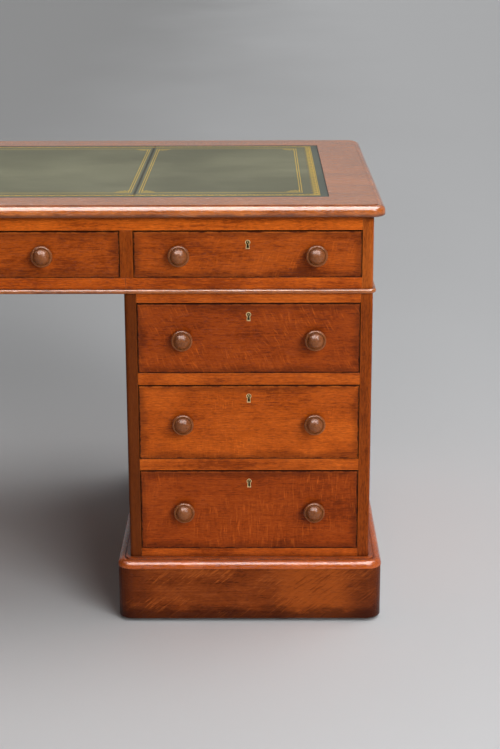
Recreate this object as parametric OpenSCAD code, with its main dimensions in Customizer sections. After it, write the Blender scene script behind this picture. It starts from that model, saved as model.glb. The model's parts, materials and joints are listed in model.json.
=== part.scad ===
// Victorian style pedestal writing desk: a leather lined top on a frieze of three drawers,
// standing on two pedestals of three graduated drawers each. Millimetres, +Z up, front faces -Y.

/* [Top board] */
// Width of the top board, over its moulded edge
desk_w = 1524; // [1500:1:1640]
// Depth of the top board, over its moulded edge
desk_d = 838; // [760:1:900]
// Height of the writing surface above the floor
desk_h = 762; // [755:1:790]
// Thickness of the top board
top_t = 20; // [19:0.5:26]
// Distance the top stands out past the case on every side
top_overhang = 19; // [15:0.5:20]
// Corner radius of the top board in plan
top_corner_r = 26; // [20:1:40]
// Radius of the quarter round along the edge of the top
edge_ovolo_r = 10; // [8:0.5:10.5]
// Distance from the outer edge of the top to the step inside the quarter round
edge_step_in = 13.5; // [12:0.5:16]
// Distance from the writing surface down to the crown of the quarter round
edge_step_d = 1.5; // [1:0.1:2.5]
// Radius of the softened lower edge of the top
edge_lower_r = 3; // [1.5:0.5:4]

/* [Leather] */
// Width of the wooden border round the leather
leather_border = 93.5; // [70:0.5:120]
// Thickness of the leather skins
leather_t = 1.5; // [1:0.1:2]
// Depth of the recess that the leather lies in
leather_recess = 1.7; // [1.6:0.1:2.2]
// Distance from the middle of the desk to the seam between two skins
leather_seam_x = 324.5; // [280:0.5:360]

/* [Frieze] */
// Thickness of the frieze end boards
frieze_side_t = 19.5; // [18:0.5:22]
// Height of the rail above the frieze drawers
frieze_top_rail_h = 25; // [20:0.5:28]
// Height of the openings of the frieze drawers
frieze_bay_h = 83; // [75:0.5:90]
// Height of the rail below the frieze drawers
frieze_low_rail_h = 20; // [18:0.5:24]
// Height of the half round bead at the foot of the frieze
bead_h = 8; // [6:0.5:10]
// Distance the bead stands out past the frieze
bead_out = 5.5; // [4:0.5:8]
// Width of the flat strip that carries the bead
bead_strip_w = 30; // [24:1:40]
// Thickness of the two upright dividers of the frieze
divider_t = 23; // [18:0.5:26]
// Distance from the inner side of a pedestal to the divider above it
divider_shift = 5.5; // [2:0.5:10]
// Radius of the upright corners of the frieze
frieze_corner_r = 8; // [4:0.5:9]

/* [Pedestals] */
// Width of each pedestal
pedestal_w = 432; // [420:1:450]
// Thickness of the pedestal sides
side_t = 21; // [18:0.5:24]
// Radius of the upright corners of the pedestals
pedestal_corner_r = 6; // [4:0.5:8]
// Height of the rail above the highest pedestal drawer
pedestal_top_rail_h = 16.5; // [14:0.5:20]
// Height of the rails between pedestal drawers
mid_rail_h = 21; // [18:0.5:24]
// Depth of every front rail, from front to back
rail_d = 60; // [45:1:80]
// Heights of the pedestal drawer openings, from the lowest up
bay_h = [149.5, 137.5, 127]; // [120:0.5:152]
// Thickness of the back boards
back_t = 14; // [10:1:18]

/* [Plinth] */
// Distance the base moulding stands out past the pedestal
plinth_out = 23; // [20:0.5:26]
// Height of the top of the base moulding above the floor
plinth_top_z = 118; // [112:0.5:124]
// Height of the base moulding
base_mould_h = 15.5; // [14.5:0.5:18]
// Radius of the quarter round of the base moulding
base_ovolo_r = 11; // [9:0.5:11]
// Width of the flat ledge of the base moulding
base_ledge = 8; // [6:0.5:9]
// Gap between the plinth and the floor
floor_gap = 6; // [4:0.5:10]
// Diameter of the glides
glide_d = 34; // [26:1:40]

/* [Drawers] */
// Length of the drawers from front to back
drawer_l = 740; // [600:5:745]
// Thickness of the drawer fronts
front_t = 21; // [19:0.5:24]
// Thickness of the drawer sides and backs
lining_t = 11; // [9:0.5:12]
// Thickness of the drawer bottoms
bottom_t = 8; // [6:0.5:9]
// Gap at each end of a drawer front
end_gap = 1.4; // [0.6:0.1:2]
// Gap above a drawer front
upper_gap = 2.2; // [1:0.1:2.5]
// Gap below a drawer front
lower_gap = 0.9; // [0.5:0.1:1.2]
// Distance from the end of a drawer front to its knob, on the narrow drawers
knob_inset = 77.5; // [60:0.5:100]
// Distance from the end of the centre drawer front to its knob
centre_knob_inset = 131.5; // [90:0.5:180]

/* [Knobs and locks] */
// Diameter of the turned knobs
knob_d = 37.5; // [30:0.5:40]
// Distance a knob stands out from the drawer front
knob_l = 30; // [27:0.5:32]
// Diameter of the tenon behind a knob
knob_tenon_d = 12; // [10:0.5:14]
// Distance from the top of a drawer front to the centre of its keyhole
keyhole_drop = 22.5; // [20:0.5:26]
// Height of the brass escutcheon
escutcheon_h = 16; // [14:0.5:18]
// Width of the round head of the escutcheon
escutcheon_w = 9; // [8:0.5:10]

/* [Hidden] */

$fn = 48;
// Hairline gap between two pieces of one node that meet
joint_gap = 0.15;
// Extra length that carries a cut past a face
cut = 1;

// Case, from its outer faces
case_w = desk_w - 2 * top_overhang;
case_d = desk_d - 2 * top_overhang;
// The origin is below the middle of the whole box, from the knobs to the back of the plinth
face_y = -(case_d + plinth_out - knob_l) / 2;
back_y = face_y + case_d;
pedestal_x = case_w / 2 - pedestal_w / 2;
kneehole_half = case_w / 2 - pedestal_w;

// Levels of the frieze, from the top down
top_z = desk_h - top_t;
frieze_bay_top = top_z - frieze_top_rail_h;
frieze_bay_z = frieze_bay_top - frieze_bay_h;
bead_top_z = frieze_bay_z - frieze_low_rail_h;
pedestal_top_z = bead_top_z - bead_h;
divider_in_x = kneehole_half - divider_shift;
divider_out_x = divider_in_x + divider_t;
rail_joint_x = kneehole_half + 3.5;

// Levels of the pedestal drawer openings, lowest first
upper_bay_z = pedestal_top_z - pedestal_top_rail_h - bay_h[2];
middle_bay_z = upper_bay_z - mid_rail_h - bay_h[1];
lower_bay_z = middle_bay_z - mid_rail_h - bay_h[0];
bay_z = [lower_bay_z, middle_bay_z, upper_bay_z];

// Parts inside the case
bay_w = pedestal_w - 2 * side_t;
runner_w = 30;
tenon_l = 8;
tenon_inset = 10;
tenon_shoulder = 3;
side_foot_z = 22;
block_w = 45;
glide_h = 12;
base_fillet_h = 3;
bottom_rail_h = 30;
case_bottom_t = 12;

// Drawers: name, middle of the front, width and height of the opening, its floor, knob inset
DRAWERS = [
    ["left_frieze", -(divider_out_x + case_w / 2 - frieze_side_t) / 2,
        case_w / 2 - frieze_side_t - divider_out_x, frieze_bay_h, frieze_bay_z, knob_inset],
    ["centre_frieze", 0, 2 * divider_in_x, frieze_bay_h, frieze_bay_z, centre_knob_inset],
    ["right_frieze", (divider_out_x + case_w / 2 - frieze_side_t) / 2,
        case_w / 2 - frieze_side_t - divider_out_x, frieze_bay_h, frieze_bay_z, knob_inset],
    ["left_lower", -pedestal_x, bay_w, bay_h[0], bay_z[0], knob_inset],
    ["left_middle", -pedestal_x, bay_w, bay_h[1], bay_z[1], knob_inset],
    ["left_upper", -pedestal_x, bay_w, bay_h[2], bay_z[2], knob_inset],
    ["right_lower", pedestal_x, bay_w, bay_h[0], bay_z[0], knob_inset],
    ["right_middle", pedestal_x, bay_w, bay_h[1], bay_z[1], knob_inset],
    ["right_upper", pedestal_x, bay_w, bay_h[2], bay_z[2], knob_inset]];
function drawer_w(i) = DRAWERS[i][2] - 2 * end_gap;
function drawer_h(i) = DRAWERS[i][3] - upper_gap - lower_gap;
function drawer_z(i) = DRAWERS[i][4] + lower_gap;
// The fronts lie a hair behind the rails
front_recess = 0.4;
front_y = face_y + front_recess;

// Drawer joinery
lap_t = 5;
tail_pitch = 33;
tail_root_part = 0.29;
tail_slope = 2.5;
overlap = 0.01;
groove_d = 6;
bottom_lift = 9;
side_drop = 3;
back_drop = 8;

// Knobs
knob_hole_spare = 1;
knob_tenon_gap = 0.1;

// Lock
lock_w = 58;
lock_h = 36;
lock_t = 11;
lock_well_l = 5;
bolt_w = 22;
bolt_h = 14;
bolt_t = 6;
bolt_inset = 3;
key_pin_d = 2.4;
key_pin_tip = 2;
keyhole_neck_part = 0.27;
keyhole_foot_part = 0.38;
escutcheon_l = 6;
escutcheon_wall = 1.3;

// ---- shared shapes ----

// Box given by its lowest corner and its size
module box(corner, size) {
    translate(corner) cube(size);
}

// Rectangle with round corners, centred on the origin
module round_rect(w, d, r) {
    square([w, d - 2 * r], center = true);
    square([w - 2 * r, d], center = true);
    for (sx = [-1, 1], sy = [-1, 1])
        translate([sx * (w / 2 - r), sy * (d / 2 - r)]) circle(r);
}

// Moulding round a rectangle with round corners: its section lies in X from -r to 0,
// with 0 on the outer edge, and its height is along Y
module moulded_ring(w, d, r) {
    for (turn = [0, 180]) rotate(turn) {
        translate([w / 2, 0, 0]) rotate([90, 0, 0])
            linear_extrude(d - 2 * r, center = true) children();
        translate([0, d / 2, 0]) rotate([90, 0, 90])
            linear_extrude(w - 2 * r, center = true) children();
        translate([w / 2 - r, d / 2 - r, 0])
            rotate_extrude(angle = 90) translate([r, 0]) children();
        translate([r - w / 2, d / 2 - r, 0]) rotate(90)
            rotate_extrude(angle = 90) translate([r, 0]) children();
    }
}

// Hairline mitre cuts through the four corners of a frame
module mitre_cuts(w, d, r) {
    reach = 200;
    for (turn = [0, 180], s = [-1, 1])
        rotate(turn) translate([w / 2 - r, s * (d / 2 - r), 0]) rotate(s * 45)
            cube([reach, joint_gap, reach], center = true);
}

// Plan of an upright board whose two outer corners, on its +X side, are rounded
module board_plan(t, d, r) {
    square([t - r, d]);
    translate([0, r]) square([t, d - 2 * r]);
    for (y = [r, d - r]) translate([t - r, y]) circle(r);
}

// Stub tenon on the end of a rail at the origin, pointing along +X
module tenon(h) {
    box([-cut, tenon_inset, tenon_shoulder],
        [tenon_l + cut, rail_d - 2 * tenon_inset, h - 2 * tenon_shoulder]);
}

// ---- top ----

// Section of the moulded edge of the top, with its outer edge at X = 0
module top_edge_section() {
    crown_z = top_t - edge_step_d;
    centre_z = crown_z - edge_ovolo_r;
    translate([-top_corner_r, 0]) square([top_corner_r - edge_step_in, top_t]);
    translate([-top_corner_r, edge_lower_r]) square([top_corner_r, centre_z - edge_lower_r]);
    translate([-top_corner_r, 0]) square([top_corner_r - edge_lower_r, centre_z]);
    translate([-edge_lower_r, edge_lower_r]) circle(edge_lower_r);
    intersection() {
        translate([-edge_ovolo_r, centre_z]) circle(edge_ovolo_r);
        translate([-edge_step_in, centre_z]) square([edge_step_in, top_t]);
    }
}

module top_board() {
    leather_w = desk_w - 2 * leather_border;
    leather_d = desk_d - 2 * leather_border;
    mid_y = (face_y + back_y) / 2;
    color("sienna") translate([0, mid_y, top_z]) difference() {
        union() {
            moulded_ring(desk_w, desk_d, top_corner_r) top_edge_section();
            translate([0, 0, top_t / 2])
                cube([desk_w - 2 * top_corner_r, desk_d - 2 * top_corner_r, top_t], center = true);
        }
        box([-leather_w / 2, -leather_d / 2, top_t - leather_recess],
            [leather_w, leather_d, leather_recess + cut]);
    }
}

// Three skins side by side in the recess of the top
module writing_leather() {
    edge_x = desk_w / 2 - leather_border - joint_gap;
    near_y = face_y - top_overhang + leather_border + joint_gap;
    skin_d = desk_d - 2 * leather_border - 2 * joint_gap;
    seams = [-edge_x - joint_gap / 2, -leather_seam_x, leather_seam_x, edge_x + joint_gap / 2];
    color("darkolivegreen") for (i = [0:2])
        box([seams[i] + joint_gap / 2, near_y, desk_h - leather_recess],
            [seams[i + 1] - seams[i] - joint_gap, skin_d, leather_t]);
}

// ---- frieze ----

module frieze_sides() {
    h = top_z - bead_top_z;
    color("chocolate") for (s = [-1, 1]) mirror([s < 0 ? 1 : 0, 0, 0]) difference() {
        translate([case_w / 2 - frieze_side_t, face_y, bead_top_z]) linear_extrude(h)
            board_plan(frieze_side_t, case_d, frieze_corner_r);
        translate([case_w / 2 - frieze_side_t, face_y, frieze_bay_top]) tenon(frieze_top_rail_h);
        translate([case_w / 2 - frieze_side_t, face_y, bead_top_z]) tenon(frieze_low_rail_h);
    }
}

module frieze_top_rail() {
    half = case_w / 2 - frieze_side_t;
    color("peru") {
        box([-half, face_y, frieze_bay_top], [2 * half, rail_d, frieze_top_rail_h]);
        for (s = [-1, 1]) mirror([s < 0 ? 1 : 0, 0, 0])
            translate([half, face_y, frieze_bay_top]) tenon(frieze_top_rail_h);
    }
}

// One length over each pedestal and one across the kneehole
module frieze_lower_rails() {
    half = case_w / 2 - frieze_side_t;
    color("peru") {
        box([-rail_joint_x + joint_gap / 2, face_y, bead_top_z],
            [2 * rail_joint_x - joint_gap, rail_d, frieze_low_rail_h]);
        for (s = [-1, 1]) mirror([s < 0 ? 1 : 0, 0, 0]) {
            box([rail_joint_x + joint_gap / 2, face_y, bead_top_z],
                [half - rail_joint_x - joint_gap / 2, rail_d, frieze_low_rail_h]);
            translate([half, face_y, bead_top_z]) tenon(frieze_low_rail_h);
        }
    }
}

// Partitions between the frieze drawers: the front edge shows between the rails
module frieze_dividers() {
    color("saddlebrown") for (s = [-1, 1]) mirror([s < 0 ? 1 : 0, 0, 0]) {
        box([divider_in_x, face_y, frieze_bay_z], [divider_t, rail_d + cut, frieze_bay_h]);
        box([divider_in_x, face_y + rail_d, bead_top_z],
            [divider_t, case_d - rail_d - back_t, top_z - bead_top_z]);
    }
}

module frieze_back() {
    half = case_w / 2 - frieze_side_t;
    color("tan") box([-half, back_y - back_t, bead_top_z], [2 * half, back_t, top_z - bead_top_z]);
}

// Section of the half round bead, with its outer edge at X = 0
module bead_section(flat) {
    translate([-flat, 0]) square([flat - bead_h / 2, bead_h]);
    translate([-bead_h / 2, bead_h / 2]) circle(bead_h / 2);
}

// Strip under the frieze with a half round nose: three lengths in front, two sides and a back
module frieze_bead() {
    w = case_w + 2 * bead_out;
    d = case_d + 2 * bead_out;
    r = frieze_corner_r + bead_out;
    mid_y = (face_y + back_y) / 2;
    color("peru") translate([0, mid_y, pedestal_top_z]) difference() {
        union() {
            moulded_ring(w, d, r) bead_section(r);
            linear_extrude(bead_h) difference() {
                square([w - 2 * r, d - 2 * r], center = true);
                square([w - 2 * bead_strip_w, d - 2 * bead_strip_w], center = true);
            }
        }
        mitre_cuts(w, d, r);
        for (s = [-1, 1])
            translate([s * rail_joint_x, -d / 2, 0])
                cube([joint_gap, 3 * bead_strip_w, 3 * bead_h], center = true);
    }
}

// Bearers that the frieze drawers run on, and the strips above that stop them tipping
module frieze_runners() {
    run_y = face_y + rail_d + joint_gap;
    run_l = case_d - rail_d - back_t - 2 * joint_gap;
    color("burlywood") for (i = [0:2], s = [0, 1]) {
        x = DRAWERS[i][1] - DRAWERS[i][2] / 2 + s * (DRAWERS[i][2] - runner_w);
        box([x, run_y, bead_top_z], [runner_w, run_l, frieze_low_rail_h]);
        box([x, run_y, frieze_bay_top], [runner_w, run_l, frieze_top_rail_h]);
    }
}

// ---- pedestals ----

// Puts a piece of a pedestal in its place: s is -1 on the left and 1 on the right
module at_pedestal(s) {
    translate([s * pedestal_x, face_y, 0]) children();
}

// Height and level of each front rail of a pedestal, lowest first
rail_h = [bottom_rail_h, mid_rail_h, mid_rail_h, pedestal_top_rail_h];
rail_z = [bay_z[0] - bottom_rail_h, bay_z[1] - mid_rail_h, bay_z[2] - mid_rail_h,
    pedestal_top_z - pedestal_top_rail_h];
case_bottom_z = bay_z[0] - mid_rail_h - case_bottom_t;

module pedestal_sides(s) {
    color("saddlebrown") at_pedestal(s) for (m = [0, 1]) mirror([m, 0, 0]) difference() {
        translate([bay_w / 2, 0, side_foot_z]) linear_extrude(pedestal_top_z - side_foot_z)
            board_plan(side_t, case_d, pedestal_corner_r);
        for (i = [0:3]) translate([bay_w / 2, 0, rail_z[i]]) tenon(rail_h[i]);
    }
}

module pedestal_rails(s) {
    color("peru") at_pedestal(s) for (i = [0:3]) {
        box([-bay_w / 2, 0, rail_z[i]], [bay_w, rail_d, rail_h[i]]);
        for (m = [0, 1]) mirror([m, 0, 0]) translate([bay_w / 2, 0, rail_z[i]]) tenon(rail_h[i]);
    }
}

// Board that closes the pedestal above its drawers, and its floor
module pedestal_boards(s) {
    depth = case_d - rail_d - back_t - 2 * joint_gap;
    color("burlywood") at_pedestal(s) {
        box([-bay_w / 2, rail_d + joint_gap, rail_z[3]], [bay_w, depth, pedestal_top_rail_h]);
        box([-bay_w / 2, rail_d + joint_gap, case_bottom_z], [bay_w, depth, case_bottom_t]);
    }
}

module pedestal_back(s) {
    color("tan") at_pedestal(s)
        box([-bay_w / 2, case_d - back_t, side_foot_z], [bay_w, back_t, pedestal_top_z - side_foot_z]);
}

// Bearers on the inner faces of the sides, two under each drawer
module pedestal_runners(s) {
    run_l = case_d - rail_d - back_t - 2 * joint_gap;
    color("burlywood") at_pedestal(s) for (i = [0:2], m = [0, 1])
        mirror([m, 0, 0]) box([bay_w / 2 - runner_w, rail_d + joint_gap, bay_z[i] - mid_rail_h],
            [runner_w, run_l, mid_rail_h]);
}

// Four mitred boards round the foot of the pedestal, with a glue block in each corner
module plinth(s) {
    board_out = plinth_out - 1;
    w = pedestal_w + 2 * board_out;
    d = case_d + 2 * board_out;
    r = pedestal_corner_r + board_out;
    h = plinth_top_z - base_mould_h - floor_gap;
    color("sienna") at_pedestal(s) {
        translate([0, case_d / 2, floor_gap]) difference() {
            linear_extrude(h) difference() {
                round_rect(w, d, r);
                round_rect(pedestal_w, case_d, pedestal_corner_r);
            }
            mitre_cuts(w, d, r);
        }
        for (m = [0, 1], y = [joint_gap, case_d - block_w - back_t - joint_gap])
            mirror([m, 0, 0])
                box([bay_w / 2 - block_w, y, glide_h], [block_w, block_w, case_bottom_z - glide_h]);
    }
}

// Section of the base moulding, with its outer edge at X = 0
module base_section() {
    ledge_x = plinth_out - base_ledge;
    centre_z = base_mould_h - base_fillet_h - base_ovolo_r;
    translate([-plinth_out, 0]) square([base_ledge, base_mould_h]);
    intersection() {
        translate([-base_ovolo_r, centre_z]) circle(base_ovolo_r);
        translate([-ledge_x, 0]) square([ledge_x, base_mould_h]);
    }
}

module plinth_moulding(s) {
    w = pedestal_w + 2 * plinth_out;
    d = case_d + 2 * plinth_out;
    r = pedestal_corner_r + plinth_out;
    color("peru") at_pedestal(s) translate([0, case_d / 2, plinth_top_z - base_mould_h]) difference() {
        moulded_ring(w, d, r) base_section();
        mitre_cuts(w, d, r);
    }
}

// Low pads that lift the plinths off the floor
module glides() {
    color("dimgray") for (s = [-1, 1]) at_pedestal(s)
        for (m = [-1, 1], y = [block_w / 2, case_d - back_t - block_w / 2])
            translate([m * (bay_w / 2 - block_w / 2), y, 0]) cylinder(h = glide_h, d = glide_d);
}

// ---- drawers ----

// Puts a piece of drawer i in its place: X from the middle of its front, Y from its face
module at_drawer(i) {
    translate([DRAWERS[i][1], front_y, drawer_z(i)]) children();
}

// Tails at the front end of a drawer side, in the plane of the side
module tail_plan(h) {
    count = max(3, round(h / tail_pitch));
    pitch = h / count;
    root = tail_root_part * pitch;
    for (k = [0:count - 1]) {
        z = (k + 0.5) * pitch;
        polygon([[lap_t, z - root - tail_slope], [front_t + overlap, z - root],
            [front_t + overlap, z + root], [lap_t, z + root + tail_slope]]);
    }
}

// The tails as a solid, as thick as a drawer side, on the +X end of the drawer
module tails(i) {
    translate([drawer_w(i) / 2 - lining_t, 0, 0]) rotate([90, 0, 90])
        linear_extrude(lining_t) tail_plan(drawer_h(i) - side_drop);
}

// Outline of the keyhole plate, grown by `grow`, with its middle at the origin
module key_plan(grow) {
    head_r = escutcheon_w / 2;
    head_z = escutcheon_h / 2 - head_r;
    neck = keyhole_neck_part * escutcheon_w + grow;
    foot = keyhole_foot_part * escutcheon_w + grow;
    foot_z = -escutcheon_h / 2 - grow;
    translate([0, head_z]) circle(head_r + grow);
    polygon([[-neck, head_z], [neck, head_z], [foot, foot_z], [-foot, foot_z]]);
}

// Keyhole shape as a solid between two depths behind the face
module key_solid(i, from_y, to_y, grow) {
    translate([0, to_y, drawer_h(i) - keyhole_drop]) rotate([90, 0, 0])
        linear_extrude(to_y - from_y) key_plan(grow);
}

function knob_x(i) = drawer_w(i) / 2 - DRAWERS[i][5];
function knob_z(i) = drawer_h(i) / 2;

module drawer_front(i) {
    w = drawer_w(i);
    h = drawer_h(i);
    knob_hole_l = front_t - knob_hole_spare;
    groove_z = bottom_lift - joint_gap;
    groove_h = bottom_t + 2 * joint_gap;
    color("sienna") at_drawer(i) difference() {
        box([-w / 2, 0, 0], [w, front_t, h]);
        for (m = [0, 1]) mirror([m, 0, 0]) tails(i);
        box([groove_d - w / 2, front_t - groove_d, groove_z],
            [w - 2 * groove_d, groove_d + cut, groove_h]);
        for (s = [-1, 1]) translate([s * knob_x(i), -cut, knob_z(i)]) rotate([-90, 0, 0])
            cylinder(h = knob_hole_l + cut, d = knob_tenon_d);
        key_solid(i, -cut, escutcheon_l, 0);
        key_solid(i, 0, front_t - lock_t + cut, -escutcheon_wall);
        box([-lock_w / 2, front_t - lock_t, h - lock_h], [lock_w, lock_t + cut, lock_h + cut]);
    }
}

// Two sides, the back and the bottom, each a board of its own
module drawer_box(i) {
    w = drawer_w(i);
    h = drawer_h(i) - side_drop;
    floor_half = w / 2 - lining_t + groove_d - joint_gap;
    inner_half = w / 2 - lining_t - joint_gap;
    floor_top = bottom_lift + bottom_t;
    floor_y = front_t - groove_d + joint_gap;
    color("wheat") at_drawer(i) {
        for (m = [0, 1]) mirror([m, 0, 0]) difference() {
            union() {
                box([w / 2 - lining_t, front_t, 0], [lining_t, drawer_l - front_t, h]);
                tails(i);
            }
            box([w / 2 - lining_t - cut, 0, bottom_lift - joint_gap],
                [groove_d + cut, drawer_l + cut, bottom_t + 2 * joint_gap]);
        }
        box([-inner_half, drawer_l - lining_t, floor_top + joint_gap],
            [2 * inner_half, lining_t, h - floor_top - back_drop]);
        box([-floor_half, floor_y, bottom_lift], [2 * floor_half, drawer_l - floor_y, bottom_t]);
    }
}

// Points of an arc from one angle to another
function arc(cx, cy, r, from, to, count) =
    [for (k = [0:count]) [cx + r * cos(from + (to - from) * k / count),
        cy + r * sin(from + (to - from) * k / count)]];

// Outline of a turned knob: radius along X, distance from the drawer face along Y.
// From the face: a round collar, a waist, a flare, a beaded rim, a groove and a domed face.
module knob_plan() {
    rim_r = knob_d / 2;
    collar_r = 0.62 * rim_r;
    collar_edge = 1.5;
    waist_r = 0.5 * rim_r;
    waist_y = 0.2 * knob_l;
    bead_r = 3.6;
    bead_y = 0.55 * knob_l;
    groove_r = rim_r - 4.2;
    groove_y = bead_y + 2.4;
    dome_edge_r = rim_r - 4.8;
    dome_edge_y = groove_y + 0.8;
    dome_h = knob_l - dome_edge_y;
    dome_r = (dome_edge_r * dome_edge_r + dome_h * dome_h) / (2 * dome_h);
    dome_angle = asin(dome_edge_r / dome_r);
    polygon(concat(
        [[0, 0], [collar_r, 0]],
        arc(collar_r - collar_edge, collar_edge, collar_edge, 0, 90, 4),
        arc(waist_r + waist_y / 2, waist_y, waist_y / 2, 225, 135, 5),
        arc(rim_r - bead_r, bead_y, bead_r, -60, 75, 8),
        [[groove_r, groove_y]],
        arc(0, knob_l - dome_r, dome_r, 90 - dome_angle, 90, 10)));
}

module drawer_knobs(i) {
    tenon_r = knob_tenon_d / 2 - knob_tenon_gap;
    tenon_end = front_t - 2 * knob_hole_spare;
    color("saddlebrown") at_drawer(i) for (s = [-1, 1])
        translate([s * knob_x(i), 0, knob_z(i)]) rotate([90, 0, 0]) {
            rotate_extrude() knob_plan();
            translate([0, 0, -tenon_end]) cylinder(h = tenon_end + cut, r = tenon_r);
        }
}

// Brass lock case with its key pin, the bolt drawn back into it, and the plate round the keyhole
module drawer_lock(i) {
    h = drawer_h(i);
    case_y = front_t - lock_t;
    color("goldenrod") at_drawer(i) {
        difference() {
            box([-lock_w / 2, case_y, h - lock_h], [lock_w, lock_t, lock_h]);
            key_solid(i, case_y - cut, case_y + lock_well_l, -escutcheon_wall);
            box([-bolt_w / 2 - joint_gap, case_y + bolt_inset, h - bolt_h - joint_gap],
                [bolt_w + 2 * joint_gap, bolt_t, bolt_h + joint_gap + cut]);
        }
        translate([0, case_y + lock_well_l + cut, h - keyhole_drop + escutcheon_h / 2 - escutcheon_w / 2])
            rotate([90, 0, 0]) cylinder(h = case_y + lock_well_l + cut - key_pin_tip, d = key_pin_d);
        box([-bolt_w / 2, case_y + bolt_inset + joint_gap, h - bolt_h],
            [bolt_w, bolt_t - 2 * joint_gap, bolt_h]);
        difference() {
            key_solid(i, 0, escutcheon_l, 0);
            key_solid(i, -cut, escutcheon_l + cut, -escutcheon_wall);
        }
    }
}

// ---- pieces ----

top_board();
writing_leather();
frieze_sides();
frieze_top_rail();
frieze_lower_rails();
frieze_dividers();
frieze_back();
frieze_bead();
frieze_runners();
glides();
for (s = [-1, 1]) {
    side = s < 0 ? "left" : "right";
    pedestal_sides(s);
    pedestal_boards(s);
    pedestal_back(s);
    pedestal_rails(s);
    pedestal_runners(s);
    plinth(s);
    plinth_moulding(s);
}
for (i = [0:len(DRAWERS) - 1]) {
    name = str(DRAWERS[i][0], "_drawer");
    drawer_front(i);
    drawer_box(i);
    drawer_knobs(i);
    drawer_lock(i);
}
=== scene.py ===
"""Looks of an old oak pedestal desk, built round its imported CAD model. Metres, +Z up, front faces -Y."""

import json
import math
import random

import bpy
from mathutils import Matrix, Vector

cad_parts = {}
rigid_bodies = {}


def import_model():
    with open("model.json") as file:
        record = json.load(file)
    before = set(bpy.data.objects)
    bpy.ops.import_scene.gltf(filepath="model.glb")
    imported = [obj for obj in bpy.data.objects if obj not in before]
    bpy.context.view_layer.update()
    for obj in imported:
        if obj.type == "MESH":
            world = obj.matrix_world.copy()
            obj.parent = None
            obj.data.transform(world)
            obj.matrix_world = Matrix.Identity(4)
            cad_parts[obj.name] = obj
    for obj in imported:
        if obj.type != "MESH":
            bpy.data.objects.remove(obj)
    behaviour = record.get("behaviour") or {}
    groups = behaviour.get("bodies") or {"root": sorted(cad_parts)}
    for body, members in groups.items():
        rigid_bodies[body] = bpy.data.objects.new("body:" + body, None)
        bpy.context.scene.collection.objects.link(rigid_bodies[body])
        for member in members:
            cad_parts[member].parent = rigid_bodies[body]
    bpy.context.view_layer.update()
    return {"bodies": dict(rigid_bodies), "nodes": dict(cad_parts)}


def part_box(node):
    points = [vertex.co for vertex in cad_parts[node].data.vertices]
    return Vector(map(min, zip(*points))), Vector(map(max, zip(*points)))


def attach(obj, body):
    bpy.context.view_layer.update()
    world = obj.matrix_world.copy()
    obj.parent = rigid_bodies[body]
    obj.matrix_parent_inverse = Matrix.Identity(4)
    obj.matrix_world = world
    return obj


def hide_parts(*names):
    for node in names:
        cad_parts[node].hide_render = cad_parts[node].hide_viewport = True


MM = 0.001

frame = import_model()
nodes = frame["nodes"]
DRAWERS = [name for name in frame["bodies"] if name.endswith("_drawer")]


# ---- shader building ----

class Value:
    """An output socket of a shader. Arithmetic on it adds Math nodes."""

    def __init__(self, shader, socket):
        self.shader, self.socket = shader, socket

    def __add__(self, other): return self.shader.math("ADD", self, other)
    def __radd__(self, other): return self.shader.math("ADD", other, self)
    def __sub__(self, other): return self.shader.math("SUBTRACT", self, other)
    def __rsub__(self, other): return self.shader.math("SUBTRACT", other, self)
    def __mul__(self, other): return self.shader.math("MULTIPLY", self, other)
    def __truediv__(self, other): return self.shader.math("DIVIDE", self, other)
    def __abs__(self): return self.shader.math("ABSOLUTE", self)


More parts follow.
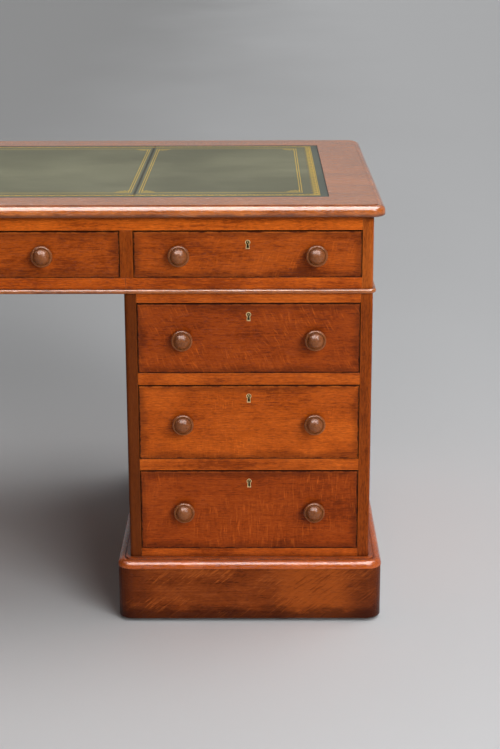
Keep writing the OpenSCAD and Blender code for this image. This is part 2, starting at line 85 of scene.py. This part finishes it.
class Shader:
    """A Principled material whose nodes are added one call at a time."""

    def __init__(self, name):
        self.material = bpy.data.materials.new(name)
        self.material.use_nodes = True
        self.tree = self.material.node_tree
        self.surface = self.tree.nodes["Principled BSDF"]

    def put(self, socket, value):
        if isinstance(value, Value):
            self.tree.links.new(value.socket, socket)
        else:
            socket.default_value = value

    def node(self, kind, inputs, output=0, **settings):
        node = self.tree.nodes.new("ShaderNode" + kind)
        for key, setting in settings.items():
            setattr(node, key, setting)
        for key, value in inputs.items():
            self.put(node.inputs[key], value)
        return Value(self, node.outputs[output])

    def math(self, operation, *values):
        return self.node("Math", dict(enumerate(values)), operation=operation)

    def least(self, first, *others):
        for other in others:
            first = self.math("MINIMUM", first, other)
        return first

    def most(self, first, *others):
        for other in others:
            first = self.math("MAXIMUM", first, other)
        return first

    def step(self, value, low, high, out_low=0.0, out_high=1.0):
        """A smooth step from out_low to out_high as value goes from low to high."""
        inputs = {0: value, 1: low, 2: high, 3: out_low, 4: out_high}
        return self.node("MapRange", inputs, interpolation_type="SMOOTHSTEP")

    def near(self, value, centre, half, soft):
        """1 where value is within half of centre, fading to 0 over soft."""
        return self.step(abs(value - centre), half, half + soft, 1.0, 0.0)

    def mix(self, factor, first, second):
        """first where factor is 0, second where it is 1. A Mix node keeps its colours at 6, 7 and 2."""
        return self.node("Mix", {0: factor, 6: first, 7: second}, output=2, data_type="RGBA")

    def vector(self, x, y, z):
        return self.node("CombineXYZ", {0: x, 1: y, 2: z})

    def parts(self, vector):
        return [self.node("SeparateXYZ", {0: vector}, output=k) for k in range(3)]

    def scaled(self, vector, scale):
        return self.node("Mapping", {"Vector": vector, "Scale": scale})

    def turned(self, vector, angle):
        return self.node("Mapping", {"Vector": vector, "Rotation": (0, 0, angle)})

    def noise(self, vector, scale, detail=2.0, roughness=0.5):
        """Noise from 0 to 1. scale is how often it varies in a metre along each axis."""
        inputs = {"Vector": self.scaled(vector, scale), "Scale": 1.0, "Detail": detail,
                  "Roughness": roughness}
        return self.node("TexNoise", inputs)

    def place(self):
        """Where a point lies in the desk's frame, in metres, when nothing has moved."""
        return self.node("TexCoord", {}, output="Object")

    def finish(self, colour, roughness, height=None, depth=0.1 * MM, **constants):
        self.put(self.surface.inputs["Base Color"], colour)
        self.put(self.surface.inputs["Roughness"], roughness)
        if height is not None:
            bump = self.node("Bump", {"Height": height, "Distance": depth, "Strength": 1.0})
            self.put(self.surface.inputs["Normal"], bump)
        for name, value in constants.items():
            self.put(self.surface.inputs[name.replace("_", " ")], value)
        return self.material


# ---- oak ----

# how often a pattern varies in a metre, along the grain and in the two directions across it
SWAY, DRIFT, BANDS = (2.5, 9, 9), (1.8, 9, 9), (4.0, 170, 170)
FIBRES, SPECKS, PORES = (21, 900, 900), (110, 420, 420), (80, 1500, 1500)
BLOTCH, BROKEN, RIPPLE, RAGGED = (13, 22, 22), (70, 120, 120), (9, 24, 24), (24, 60, 60)
RAY_BEND, RAY_COVER = (22, 22, 22), (8, 15, 15)
# how often the silver flecks vary in a metre into the wood
RAY_DEPTH = 30

# what a board's red, green and blue are multiplied by
DARK, LIGHT, INK = (0.52, 0.45, 0.40), (1.4, 1.6, 2.0), (0.12, 0.10, 0.10)
SILVER, PALE, WORN = (1.9, 2.3, 2.6), (1.9, 2.1, 1.9), (1.6, 2.2, 4.0)
# darker bands at lower edges and at plinth ends, and age with painted shade on a board's left side
FOOT_DARKER, CORNER_DARKER, AGED_AND_SHADED = (0.16, 0.13, 0.2), (0.28, 0.24, 0.4), (0.30, 0.36, 0.6)

# how far out of a corner the painted shade and grime reach, and how far back from an edge the polish is
# worn
SHADE_AND_GRIME_REACH, ARRIS_REACH = 13 * MM, 1.8 * MM


def grain_space(shader, run, seed, box=None):
    """Coordinates with X along the grain. run is x, y or z, or ring for a frame of mitred boards."""
    x, y, z = shader.parts(shader.place())
    shift = random.Random(seed).uniform(3, 9)
    if run == "ring":
        low, high = box
        centre, half = (low + high) / 2, (high - low) / 2
        past_side = abs(x - centre.x) - half.x
        past_front = abs(y - centre.y) - half.y
        is_side = shader.math("GREATER_THAN", past_side, past_front)
        is_front = 1.0 - is_side
        along = x * is_front + y * is_side
        across = y * is_front + x * is_side
        return shader.vector(along + shift + is_side * 2.7, z + shift, across + shift)
    order = {"x": (x, z, y), "y": (y, z, x), "z": (z, x, y)}[run]
    return shader.vector(*(part + shift for part in order))


def tinted(colour, *factors):
    """colour with its parts multiplied, as a shader colour."""
    factors = factors * (3 // len(factors))
    return (*[min(1.0, part * factor) for part, factor in zip(colour, factors)], 1)


def faded_and_sheened(shader, colour, level, faded_sheen):
    """Faces that look up are paler, partly bleached by the sun and partly a painted sheen."""
    _, _, facing_up = shader.parts(shader.node("NewGeometry", {}, output="Normal"))
    faded_sheen_colour = shader.mix(shader.step(level, 0.2, 0.75), tinted(faded_sheen, 0.8), tinted(faded_sheen, 1.12))
    return shader.mix(shader.step(facing_up, 0.9, 0.99), colour, faded_sheen_colour)


def paler(shader, colour, tone, blotch, pale):
    """A paler stretch of a board. pale is its middle and its half width along X."""
    x, _, _ = shader.parts(shader.place())
    middle, half = pale
    stretch = shader.near(x + (blotch - 0.5) * 60 * MM, middle, half * 0.5, half)
    return shader.mix(stretch * 0.7, colour, tinted(tone, *PALE))


def silver_rays(shader, grain, rays, ray_turn, ray_size, figured):
    """How strong the silver flecks are at a point, and how strong the shade beside them."""
    u, v, w = shader.parts(grain)
    bend = shader.noise(grain, RAY_BEND, detail=1.0) - 0.5
    wavy = shader.vector(u + bend * 0.016, v + bend * 0.006, w)
    per_length, per_width = (1000 / (2 * size) for size in ray_size)
    flecks = shader.noise(shader.turned(wavy, ray_turn), (per_width, per_length, RAY_DEPTH),
                          detail=2.0, roughness=0.6)
    cover = shader.noise(grain, RAY_COVER, detail=2.0)
    where = shader.step(cover, 0.65 - figured * 0.5, 0.91 - figured * 0.5)
    fleck = shader.step(flecks, 0.55, 0.72) * where * rays
    shade = shader.step(flecks, 0.46, 0.34) * where * rays * 0.5
    return fleck, shade


def shade_grime_and_wear(shader, broken, shade_and_grime, wear):
    """Painted shade with grime darkens corners and recesses, and polish wears through on the arrises."""
    open_air = shader.node("AmbientOcclusion", {"Distance": SHADE_AND_GRIME_REACH}, output="AO", samples=6)
    # painted shade: the wood darkens where ambient occlusion finds corners and recesses, standing in for
    # shade as well as grime
    shade_and_smut = shader.step(open_air + (broken - 0.5) * 0.35, 0.88, 0.45) * shade_and_grime
    soft = shader.node("Bevel", {"Radius": ARRIS_REACH}, samples=4)
    flat = shader.node("NewGeometry", {}, output="Normal")
    turn = shader.node("VectorMath", {0: soft, 1: flat}, output="Value", operation="DOT_PRODUCT")
    worn = shader.step(turn, 0.985, 0.86) * shader.step(broken, 0.36, 0.62) * wear
    return shade_and_smut, worn


def drawer_edges(shader, front, broken, blotch, shade_and_smut, worn):
    """A drawer front has painted shade along its gap, is dull where hands reach its border, and is worn
    along its top edge.
    """
    low, high = front
    x, _, z = shader.parts(shader.place())
    rim = shader.least(x - low.x, high.x - x, z - low.z, high.z - z)
    # painted shade: a dark line round the front, where its gap lies in shadow
    gap_shade = shader.step(rim + (broken - 0.5) * 4 * MM, 2.6 * MM, 0.8 * MM)
    handled = shader.step(rim + (blotch - 0.5) * 34 * MM, 18 * MM, 2 * MM)
    top_edge = shader.near(high.z - z, 1.9 * MM, 0.5 * MM, 0.5 * MM)
    rubbed = top_edge * shader.step(broken, 0.34, 0.60)
    return shader.most(shade_and_smut, gap_shade * 0.95, handled * 0.45), shader.most(worn, rubbed * 0.45)


def dark_corners(shader, colour, tone, blotch, box):
    """Darker towards the left and right ends of a plinth."""
    low, high = box
    x, _, _ = shader.parts(shader.place())
    from_end = shader.least(x - low.x, high.x - x) + (blotch - 0.5) * 60 * MM
    darkening = shader.step(from_end, 75 * MM, 5 * MM)
    return shader.mix(darkening * 0.7, colour, tinted(tone, *CORNER_DARKER))


def darker_foot(shader, colour, tone, grain, foot):
    """A ragged darker band along a lower edge. foot is the edge's height, and the band's depth and
    strength.
    """
    edge, depth, strength = foot
    _, _, z = shader.parts(shader.place())
    ragged = shader.noise(grain, RAGGED, detail=4.0, roughness=0.65) - 0.5
    darkening = shader.step(z - edge + ragged * depth * 2, depth * 1.3, depth * 0.4)
    return shader.mix(darkening * strength, colour, tinted(tone, *FOOT_DARKER))


def aged_and_shaded_side(shader, colour, tone, shaded_left_of):
    """The wood is darker where x is less than the bound given, partly with age and partly with painted
    shade on the side away from the light.
    """
    x, _, _ = shader.parts(shader.place())
    aged_and_shaded = shader.step(x, shaded_left_of + 5 * MM, shaded_left_of - 5 * MM)
    return shader.mix(aged_and_shaded * 0.7, colour, tinted(tone, *AGED_AND_SHADED))


def oak(name, run, tone, seed, rays=0.0, ray_turn=0.0, ray_size=(26, 2.2), contrast=1.0, wear=0.6,
        shade_and_grime=0.8, roughness=0.33, coat=0.04, gloss=0.09, box=None, front=None,
        shaded_left_of=None, faded_sheen=None, pale=None, figured=0.5, foot=None, corners=False):
    """Polished old oak.

    tone is its middle colour, and seed picks the stretch of wood. rays is the strength of its silver
    figure, whose flecks are ray_size long and wide in mm, and cover more of it as figured goes to 1.
    box is the box of a frame of mitred boards, and front that of a drawer front. faded, pale, corners,
    foot and shaded_left_of are what sunned, paler, dark_corners, darker_foot and aged_and_shaded_side add.
    """
    shader = Shader(name)
    grain = grain_space(shader, run, seed, box)
    u, v, w = shader.parts(grain)
    sway = shader.noise(grain, SWAY, detail=2.0) - 0.5
    bent = shader.vector(u, v + sway * 0.014, w + sway * 0.014)

    drift = shader.noise(bent, DRIFT, detail=3.0, roughness=0.55)
    bands = shader.noise(bent, BANDS, detail=4.0, roughness=0.65)
    fibres = shader.noise(bent, FIBRES, detail=2.0, roughness=0.6)
    specks = shader.noise(bent, SPECKS, detail=3.0, roughness=0.7)
    pores = shader.step(shader.noise(bent, PORES, detail=1.0), 0.58, 0.68)
    blotch = shader.noise(grain, BLOTCH, detail=4.0, roughness=0.6)
    broken = shader.noise(grain, BROKEN, detail=3.0)
    ripple = shader.noise(grain, RIPPLE, detail=1.0)

    level = (0.5 + (drift - 0.5) * 0.4 * contrast + (bands - 0.5) * 0.4 * contrast
             + (fibres - 0.5) * 0.7 + (blotch - 0.5) * 0.65 * contrast + (specks - 0.5) * 0.9)
    dark, ink = tinted(tone, *DARK), tinted(tone, *INK)
    colour = shader.mix(shader.step(level, 0.2, 0.52), dark, tinted(tone, 1.0))
    colour = shader.mix(shader.step(level, 0.48, 0.9), colour, tinted(tone, *LIGHT))
    # upward faces paler: partly sun fading, partly painted sheen
    if faded_sheen:
        colour = faded_and_sheened(shader, colour, level, faded_sheen)
    if pale:
        colour = paler(shader, colour, tone, blotch, pale)
    height = bands * 0.35 + fibres * 0.25 - pores * 0.9
    if rays:
        fleck, shade = silver_rays(shader, grain, rays, ray_turn, ray_size, figured)
        colour = shader.mix(fleck, colour, tinted(tone, *SILVER))
        colour = shader.mix(shade, colour, dark)
        height = height + fleck * 0.3
    colour = shader.mix(pores * 0.45, colour, ink)

    shade_and_smut, worn = shade_grime_and_wear(shader, broken, shade_and_grime, wear)
    if front:
        shade_and_smut, worn = drawer_edges(shader, front, broken, blotch, shade_and_smut, worn)
    if corners:
        colour = dark_corners(shader, colour, tone, blotch, box)
    if foot:
        colour = darker_foot(shader, colour, tone, grain, foot)
    if shaded_left_of:
        colour = aged_and_shaded_side(shader, colour, tone, shaded_left_of)
    # painted shade in corners, recesses and drawer gaps, with grime and handling dirt, darkens the wood
    colour = shader.mix(shade_and_smut, colour, ink)
    colour = shader.mix(worn, colour, tinted(tone, *WORN))

    polish = roughness + (blotch - 0.5) * 0.22 + pores * 0.2 + worn * 0.15 + shade_and_smut * 0.2
    return shader.finish(colour, polish, height + ripple * 2.2, depth=0.16 * MM, Coat_Weight=coat,
                         Coat_Roughness=0.14, Specular_IOR_Level=gloss)


# ---- camera, light and floor ----

PHOTO_LONG_SIDE = 749
FOCAL_PIXELS = 1656.6
CAMERA_OFFSET = Vector((0.0209, -2.7995, 1.2499))
PITCH, YAW, ROLL = (math.radians(a) for a in (15.753, 0.383, -0.206))


def add_camera():
    """The photograph's view, placed from the middle of the right pedestal and the frieze's face."""
    low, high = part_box("right_pedestal_sides")
    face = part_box("frieze_top_rail")[0].y
    ahead = Vector((-math.sin(YAW), math.cos(YAW), 0))
    right = Vector((math.cos(YAW), math.sin(YAW), 0))
    up = Vector((0, 0, 1))
    view = ahead * math.cos(PITCH) - up * math.sin(PITCH)
    top = ahead * math.sin(PITCH) + up * math.cos(PITCH)
    across = right * math.cos(ROLL) + top * math.sin(ROLL)
    over = top * math.cos(ROLL) - right * math.sin(ROLL)
    data = bpy.data.cameras.new("camera")
    data.sensor_width = 36
    data.lens = FOCAL_PIXELS * data.sensor_width / PHOTO_LONG_SIDE
    data.clip_end = 200
    camera = bpy.data.objects.new("camera", data)
    bpy.context.scene.collection.objects.link(camera)
    turned = Matrix((across, over, -view)).transposed().to_4x4()
    spot = Vector(((low.x + high.x) / 2, face, 0)) + CAMERA_OFFSET
    camera.matrix_world = Matrix.Translation(spot) @ turned
    bpy.context.scene.camera = camera


def add_light(name, kind, power, direction):
    """A light that shines along direction."""
    data = bpy.data.lights.new(name, kind)
    data.energy = power
    light = bpy.data.objects.new(name, data)
    bpy.context.scene.collection.objects.link(light)
    light.rotation_euler = Vector(direction).to_track_quat("-Z", "Y").to_euler()
    return light


def add_softbox(name, spot, aim, size, power, gloss_only=False):
    light = add_light(name, "AREA", power, Vector(aim) - Vector(spot))
    light.location = spot
    light.data.shape = "RECTANGLE"
    light.data.size, light.data.size_y = size
    light.visible_diffuse = not gloss_only


def add_sun(strength, direction, spread):
    """Light with no reflection of its own. spread is how wide its source looks, in degrees."""
    light = add_light("sun", "SUN", strength, direction)
    light.data.angle = math.radians(spread)
    light.data.color = (1.0, 0.985, 0.96)
    light.visible_glossy = False


FLOOR_HALF = 60
FLOOR_SHADED_LEFT = (0.48, 0.485, 0.496, 1)
FLOOR_LIT_RIGHT = (0.74, 0.752, 0.775, 1)


def add_floor():
    """A plain floor that runs to the horizon, with painted light: darker at the left, lighter at the right.
    """
    half = FLOOR_HALF
    mesh = bpy.data.meshes.new("floor")
    mesh.from_pydata([(-half, -half, 0), (half, -half, 0), (half, half, 0), (-half, half, 0)],
                     [], [(0, 1, 2, 3)])
    floor = bpy.data.objects.new("floor", mesh)
    bpy.context.scene.collection.objects.link(floor)
    shader = Shader("floor")
    place = shader.place()
    x, _, _ = shader.parts(place)
    mottle = shader.noise(place, (0.5, 0.22, 1), detail=3.0)
    # painted light: darker to the left and lighter to the right, as the light from the right falls off
    level = shader.step(x + (mottle - 0.5) * 1.6, -1.2, 1.7)
    colour = shader.mix(level, FLOOR_SHADED_LEFT, FLOOR_LIT_RIGHT)
    mesh.materials.append(shader.finish(colour, 0.7, Specular_IOR_Level=0.2))


def add_world():
    """A dim studio: a little light from all round, more of it from behind the desk."""
    world = bpy.data.worlds.new("studio")
    world.use_nodes = True
    tree = world.node_tree
    back = tree.nodes["Background"]
    coordinates = tree.nodes.new("ShaderNodeTexCoord")
    split = tree.nodes.new("ShaderNodeSeparateXYZ")
    level = tree.nodes.new("ShaderNodeMapRange")
    tree.links.new(coordinates.outputs["Generated"], split.inputs[0])
    tree.links.new(split.outputs["Y"], level.inputs["Value"])
    for key, value in (("From Min", -0.3), ("From Max", 0.8), ("To Min", 0.02), ("To Max", 0.32)):
        level.inputs[key].default_value = value
    tree.links.new(level.outputs[0], back.inputs["Strength"])
    back.inputs["Color"].default_value = (0.96, 0.98, 1.0, 1)
    bpy.context.scene.world = world


bpy.context.scene.view_settings.view_transform = "Standard"
add_camera()
add_world()
add_floor()
add_sun(strength=1.10, direction=(-0.45, 1.0, -0.38), spread=22)
add_sun(strength=1.08, direction=(-0.45, -0.08, -1.0), spread=45)
add_softbox("key", spot=(2.7, -2.9, 2.6), aim=(0.9, -0.9, 0.2), size=(1.4, 1.4), power=60)
add_softbox("strip", spot=(0.4, -0.95, 2.7), aim=(0.4, -0.95, 0.7), size=(4.0, 3.3), power=500,
            gloss_only=True)


# ---- materials of the woodwork ----

# how wide the rounded edges are on the frames and on the drawer fronts
RAIL_ARRIS, FRONT_ARRIS = 0.8 * MM, 1.3 * MM

# the middle colour of each piece's wood
TOP = (0.58, 0.15, 0.025)
# the upward faces of the top: sun fading with painted sheen
FADED_SHEEN_TOP = (0.80, 0.27, 0.085)
# the frieze's top rail: its own tone raised with painted light, against the shadow of the overhanging top
TOP_RAIL_LIT = (0.66, 0.125, 0.008)
RAIL = (0.50, 0.092, 0.007)
LOWER_RAIL = (0.56, 0.098, 0.006)
BEAD = (0.44, 0.12, 0.02)
FRIEZE_STILE = (0.44, 0.095, 0.010)
STILE = (0.30, 0.055, 0.004)
PLINTH = (0.225, 0.042, 0.005)
KNOB = (0.28, 0.085, 0.022)
LINING = (0.52, 0.30, 0.13)
BOARD = (0.24, 0.11, 0.05)
BACK = (0.24, 0.075, 0.02)

DRAWER_LOOKS = {
    "frieze": dict(tone=(0.47, 0.085, 0.006), rays=0.3, ray_size=(14, 1.4), ray_turn=0.3, contrast=1.2),
    "upper": dict(tone=(0.345, 0.055, 0.004), rays=0.7, ray_size=(11, 1.2), ray_turn=-0.45, figured=0.62),
    "middle": dict(tone=(0.52, 0.094, 0.006), rays=0.3, ray_size=(9, 1.2), contrast=1.0),
    "lower": dict(tone=(0.34, 0.053, 0.004), rays=0.7, ray_size=(16, 1.5), figured=0.62),
}


def dress(node, material):
    mesh = nodes[node].data
    mesh.materials.clear()
    mesh.materials.append(material)


def soften(node, width):
    """Small rounded arrises on the sharp edges of a CAD piece."""
    piece = nodes[node]
    weld = piece.modifiers.new("weld", "WELD")
    weld.merge_threshold = 0.01 * MM
    bevel = piece.modifiers.new("arrises", "BEVEL")
    bevel.width = width
    bevel.segments = 2
    bevel.limit_method = "ANGLE"
    bevel.angle_limit = math.radians(40)
    bevel.use_clamp_overlap = True


def dress_woodwork():
    dress("top_board", oak("oak_top", "x", TOP, 1, contrast=1.2, wear=0.2, roughness=0.17, coat=0.5,
                           gloss=0.4, faded_sheen=FADED_SHEEN_TOP,
                           foot=(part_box("top_board")[0].z, 6 * MM, 0.8)))
    dress("frieze_top_rail", oak("oak_top_rail", "x", TOP_RAIL_LIT, 2, contrast=1.4))
    dress("frieze_lower_rails", oak("oak_lower_rails", "x", LOWER_RAIL, 3, contrast=1.4))
    dress("frieze_bead", oak("oak_bead", "ring", BEAD, 4, box=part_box("frieze_bead"), roughness=0.25,
                             coat=0.5, gloss=0.5))
    dress("frieze_sides", oak("oak_frieze_sides", "z", FRIEZE_STILE, 5, contrast=0.7))
    dress("frieze_dividers", oak("oak_dividers", "z", STILE, 6))
    dress("frieze_back", oak("oak_frieze_back", "x", BACK, 7))
    lining = oak("lining_runners", "y", LINING, 8, coat=0.0, roughness=0.6)
    boards = oak("case_boards", "y", BOARD, 9, coat=0.0, roughness=0.6)
    backs = oak("back_boards", "z", BACK, 10, coat=0.1, roughness=0.45)
    dress("frieze_runners", lining)
    for seed, side in ((20, "left"), (40, "right")):
        low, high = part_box(side + "_pedestal_sides")
        # the left board of each pedestal: painted shade on the side away from the light, with age
        dress(side + "_pedestal_sides", oak(side + "_oak_sides", "z", STILE, seed + 1, rays=0.15,
                                            shaded_left_of=(low.x + high.x) / 2))
        dress(side + "_pedestal_rails", oak(side + "_oak_rails", "x", RAIL, seed + 2, contrast=1.8))
        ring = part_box(side + "_plinth")
        dress(side + "_plinth", oak(side + "_oak_plinth", "ring", PLINTH, seed + 3, rays=1.3,
                                    ray_turn=0.9, ray_size=(14, 1.3), box=ring, contrast=1.8, figured=0.6,
                                    corners=True, foot=(ring[0].z, 22 * MM, 0.75),
                                    pale=((ring[0].x + 3 * ring[1].x) / 4, 55 * MM)))
        dress(side + "_plinth_moulding", oak(side + "_oak_moulding", "ring", RAIL, seed + 4, box=ring,
                                             roughness=0.25, coat=0.35, gloss=0.4))
        dress(side + "_pedestal_boards", boards)
        dress(side + "_pedestal_back", backs)
        dress(side + "_pedestal_runners", lining)
    for seed, drawer in enumerate(DRAWERS):
        look = next(look for word, look in DRAWER_LOOKS.items() if word in drawer)
        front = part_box(drawer + "_front")
        dress(drawer + "_front", oak(drawer + "_oak", "x", seed=60 + seed, front=front, **look))
        dress(drawer + "_box", oak(drawer + "_lining", "y", LINING, 80 + seed, coat=0.0, roughness=0.6))
    for node in nodes:
        if node.endswith(("_rails", "_sides", "top_rail", "_dividers", "_plinth")):
            soften(node, RAIL_ARRIS)
        if node.endswith("_front"):
            soften(node, FRONT_ARRIS)


def brass():
    """Old brass, spotted with tarnish, with painted shade in its recesses."""
    shader = Shader("old_brass")
    spots = shader.noise(shader.place(), (420, 420, 420), detail=3.0)
    colour = shader.mix(shader.step(spots, 0.35, 0.7), (0.95, 0.72, 0.36, 1), (0.55, 0.36, 0.15, 1))
    open_air = shader.node("AmbientOcclusion", {"Distance": 5 * MM}, output="AO", samples=6)
    # painted shade: near black where ambient occlusion finds the keyhole and other recesses
    colour = shader.mix(shader.step(open_air, 0.5, 0.25), colour, (0.01, 0.008, 0.005, 1))
    return shader.finish(colour, 0.3 + spots * 0.3, spots, Metallic=0.7)


def rubber():
    shader = Shader("glide_pads")
    grain = shader.noise(shader.place(), (900, 900, 900), detail=2.0)
    colour = shader.mix(grain, (0.03, 0.028, 0.026, 1), (0.06, 0.055, 0.05, 1))
    return shader.finish(colour, 0.7 + grain * 0.15, grain)


def dress_fittings():
    turned_oak = oak("oak_knobs", "y", KNOB, 15, roughness=0.30, coat=0.2, gloss=0.25, wear=0.05,
                     shade_and_grime=0.3)
    old_brass = brass()
    for drawer in DRAWERS:
        dress(drawer + "_lock", old_brass)
        dress(drawer + "_knobs", turned_oak)
    dress("glides", rubber())


dress_woodwork()
dress_fittings()


# ---- leather ----

# from the desk's middle to where two skins meet
SEAM = 324.5 * MM
# the tooled lines of a panel, from a seam and from an outer edge
LINE_FROM_SEAM, LINE_FROM_EDGE = 9.5 * MM, 48 * MM
# the gilt band, from an outer edge, and the scallops along its inner side
BAND_START, BAND_END = 14.5 * MM, 24 * MM
SCALLOP_DEPTH, SCALLOP_PITCH = 6 * MM, 20 * MM

HIDE_DARK, HIDE_LIGHT = (0.135, 0.132, 0.070, 1), (0.200, 0.195, 0.115, 1)
HIDE_SCUFFED, HIDE_MARGIN = (0.21, 0.205, 0.14, 1), (0.045, 0.065, 0.068, 1)
HIDE_EDGE = (0.012, 0.016, 0.014, 1)
GILT_BRIGHT, GILT_DULL = (0.95, 0.63, 0.05, 1), (0.68, 0.42, 0.03, 1)


def tooled_panel(shader, x, y, low_x, high_x, edge_y):
    """A double line round a panel of the hide, with a small fan of petals in each corner."""
    a = (high_x - low_x) / 2 - abs(x - (low_x + high_x) / 2)
    b = edge_y - y
    line = shader.near(abs(shader.least(a, b)), 2.0 * MM, 0.6 * MM, 0.3 * MM)
    reach = shader.math("SQRT", a * a + b * b)
    petals = shader.math("PINGPONG", shader.math("ARCTAN2", b, a), 0.16) / 0.16
    inside = shader.step(shader.least(a, b), 1.5 * MM, 2.5 * MM)
    fan = (shader.step(petals, 0.3, 0.6) * inside * shader.step(reach, 6 * MM, 8 * MM)
           * shader.step(reach, 28 * MM, 25 * MM))
    return shader.most(line, fan * 0.7)


def gilt_band(shader, inset, run):
    """The gilt band along the outer edges. inset is the way in from an edge, run the way along it."""
    scallop = abs(shader.math("SINE", run * (math.pi / SCALLOP_PITCH)))
    band_in = BAND_END + scallop * SCALLOP_DEPTH
    band = (shader.step(inset, BAND_START, BAND_START + 0.3 * MM)
            * shader.step(inset - band_in, 0.0, -0.4 * MM))
    gap = shader.near(inset, 16.6 * MM, 0.25 * MM, 0.2 * MM)
    curl = shader.math("PINGPONG", run + SCALLOP_PITCH / 2, SCALLOP_PITCH / 2)
    bud = shader.math("SQRT", curl * curl + (inset - BAND_END) * (inset - BAND_END))
    eyes = shader.near(bud, 4.0 * MM, 1.1 * MM, 0.6 * MM)
    leaf = shader.math("PINGPONG", run + abs(inset - 21.5 * MM), 2.2 * MM)
    veins = shader.near(leaf, 0.2 * MM, 0.35 * MM, 0.5 * MM)
    return band * (1.0 - gap) * (1.0 - eyes * 0.85) * (1.0 - veins * 0.45)


def leather():
    """Grey green hide with gilt tooling, worn by use. Both halves of the desk mirror each other."""
    low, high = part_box("writing_leather")
    mid = (low.y + high.y) / 2
    half_x, half_y = high.x, high.y - mid
    shader = Shader("writing_hide")
    place = shader.place()
    x, y, _ = shader.parts(place)
    x = abs(x)
    y = abs(y - mid)
    from_side = half_x - x
    from_front = half_y - y
    inset = shader.least(from_side, from_front)
    along = shader.math("GREATER_THAN", from_side, from_front)
    run = x * along + y * (1.0 - along)

    panel_y = half_y - LINE_FROM_EDGE
    centre_x = SEAM - LINE_FROM_SEAM
    panels = ((-centre_x, centre_x, panel_y), (SEAM + LINE_FROM_SEAM, half_x - LINE_FROM_EDGE, panel_y))
    lines = (tooled_panel(shader, x, y, *panel) for panel in panels)
    rub = shader.noise(place, (210, 210, 210), detail=4.0, roughness=0.7)
    gold = shader.most(gilt_band(shader, inset, run), *lines) * shader.step(rub, 0.30, 0.46)

    cloud = shader.noise(place, (3.5, 5.0, 3), detail=4.0, roughness=0.55)
    scuff = shader.noise(place, (26, 60, 20), detail=5.0, roughness=0.65)
    colour = shader.mix(shader.step(cloud, 0.35, 0.7), HIDE_DARK, HIDE_LIGHT)
    colour = shader.mix(shader.step(scuff, 0.5, 0.8) * 0.35, colour, HIDE_SCUFFED)
    margin = shader.step(inset, 31 * MM, 29 * MM)
    colour = shader.mix(margin * 0.6, colour, HIDE_MARGIN)
    # painted shade where the hide meets the wood round it; the seams between skins are dark joints
    edge_shade = shader.step(inset, 3.5 * MM, 1.0 * MM)
    between_skins = shader.near(x, SEAM, 1.5 * MM, 3.0 * MM)
    colour = shader.mix(shader.most(edge_shade, between_skins) * 0.7, colour, HIDE_EDGE)
    colour = shader.mix(gold, colour, shader.mix(rub, GILT_BRIGHT, GILT_DULL))
    shader.put(shader.surface.inputs["Metallic"], gold * 0.25)
    pebble = shader.node("TexVoronoi", {"Vector": shader.scaled(place, (900, 900, 900)), "Scale": 1.0})
    height = pebble * 0.35 + scuff * 0.3 - gold * 0.6
    rough = 0.42 + (cloud - 0.5) * 0.2 - gold * 0.1
    return shader.finish(colour, rough, height, depth=0.12 * MM, Specular_IOR_Level=0.22)


SKIN_CELLS = 90
SKIN_GAP = 0.15 * MM
ROLL_WIDTH, ROLL_DROP = 1.6 * MM, 0.9 * MM
SWELL = 0.05 * MM


def station(k, first, last):
    """Rows of points are closer together near the edges, where a skin rolls down."""
    part = k / SKIN_CELLS
    eased = part - math.sin(2 * math.pi * part) / (2 * math.pi) * 0.97
    return first + (last - first) * eased


def skin_mesh(name, start, end, low, high):
    """One skin from x = start to x = end, with a slight swell and edges that roll down."""
    points, faces = [], []
    for j in range(SKIN_CELLS + 1):
        y = station(j, low.y, high.y)
        for i in range(SKIN_CELLS + 1):
            x = station(i, start, end)
            edge = min(x - start, end - x, y - low.y, high.y - y)
            roll = ROLL_DROP * max(0.0, 1 - edge / ROLL_WIDTH) ** 2
            swell = SWELL * (math.sin(x * 23 + 1) * math.sin(y * 17) + math.sin(x * 9 + y * 13))
            points.append((x, y, high.z - roll + swell))
    row = SKIN_CELLS + 1
    for j in range(SKIN_CELLS):
        for i in range(SKIN_CELLS):
            a = j * row + i
            faces.append((a, a + 1, a + row + 1, a + row))
    mesh = bpy.data.meshes.new(name)
    mesh.from_pydata(points, [], faces)
    mesh.polygons.foreach_set("use_smooth", [True] * len(faces))
    return mesh


def leather_skins():
    """Three skins side by side in the bed of the top board."""
    low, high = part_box("writing_leather")
    hide = leather()
    spans = {"left_leather_skin": (low.x, -SEAM), "centre_leather_skin": (-SEAM, SEAM),
             "right_leather_skin": (SEAM, high.x)}
    for name, (x0, x1) in spans.items():
        start, end = x0 + SKIN_GAP, x1 - SKIN_GAP
        mesh = skin_mesh(name, start, end, low, high)
        mesh.materials.append(hide)
        skin = bpy.data.objects.new(name, mesh)
        bpy.context.scene.collection.objects.link(skin)
        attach(skin, "root")
        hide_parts("writing_leather")
        end - start


leather_skins()
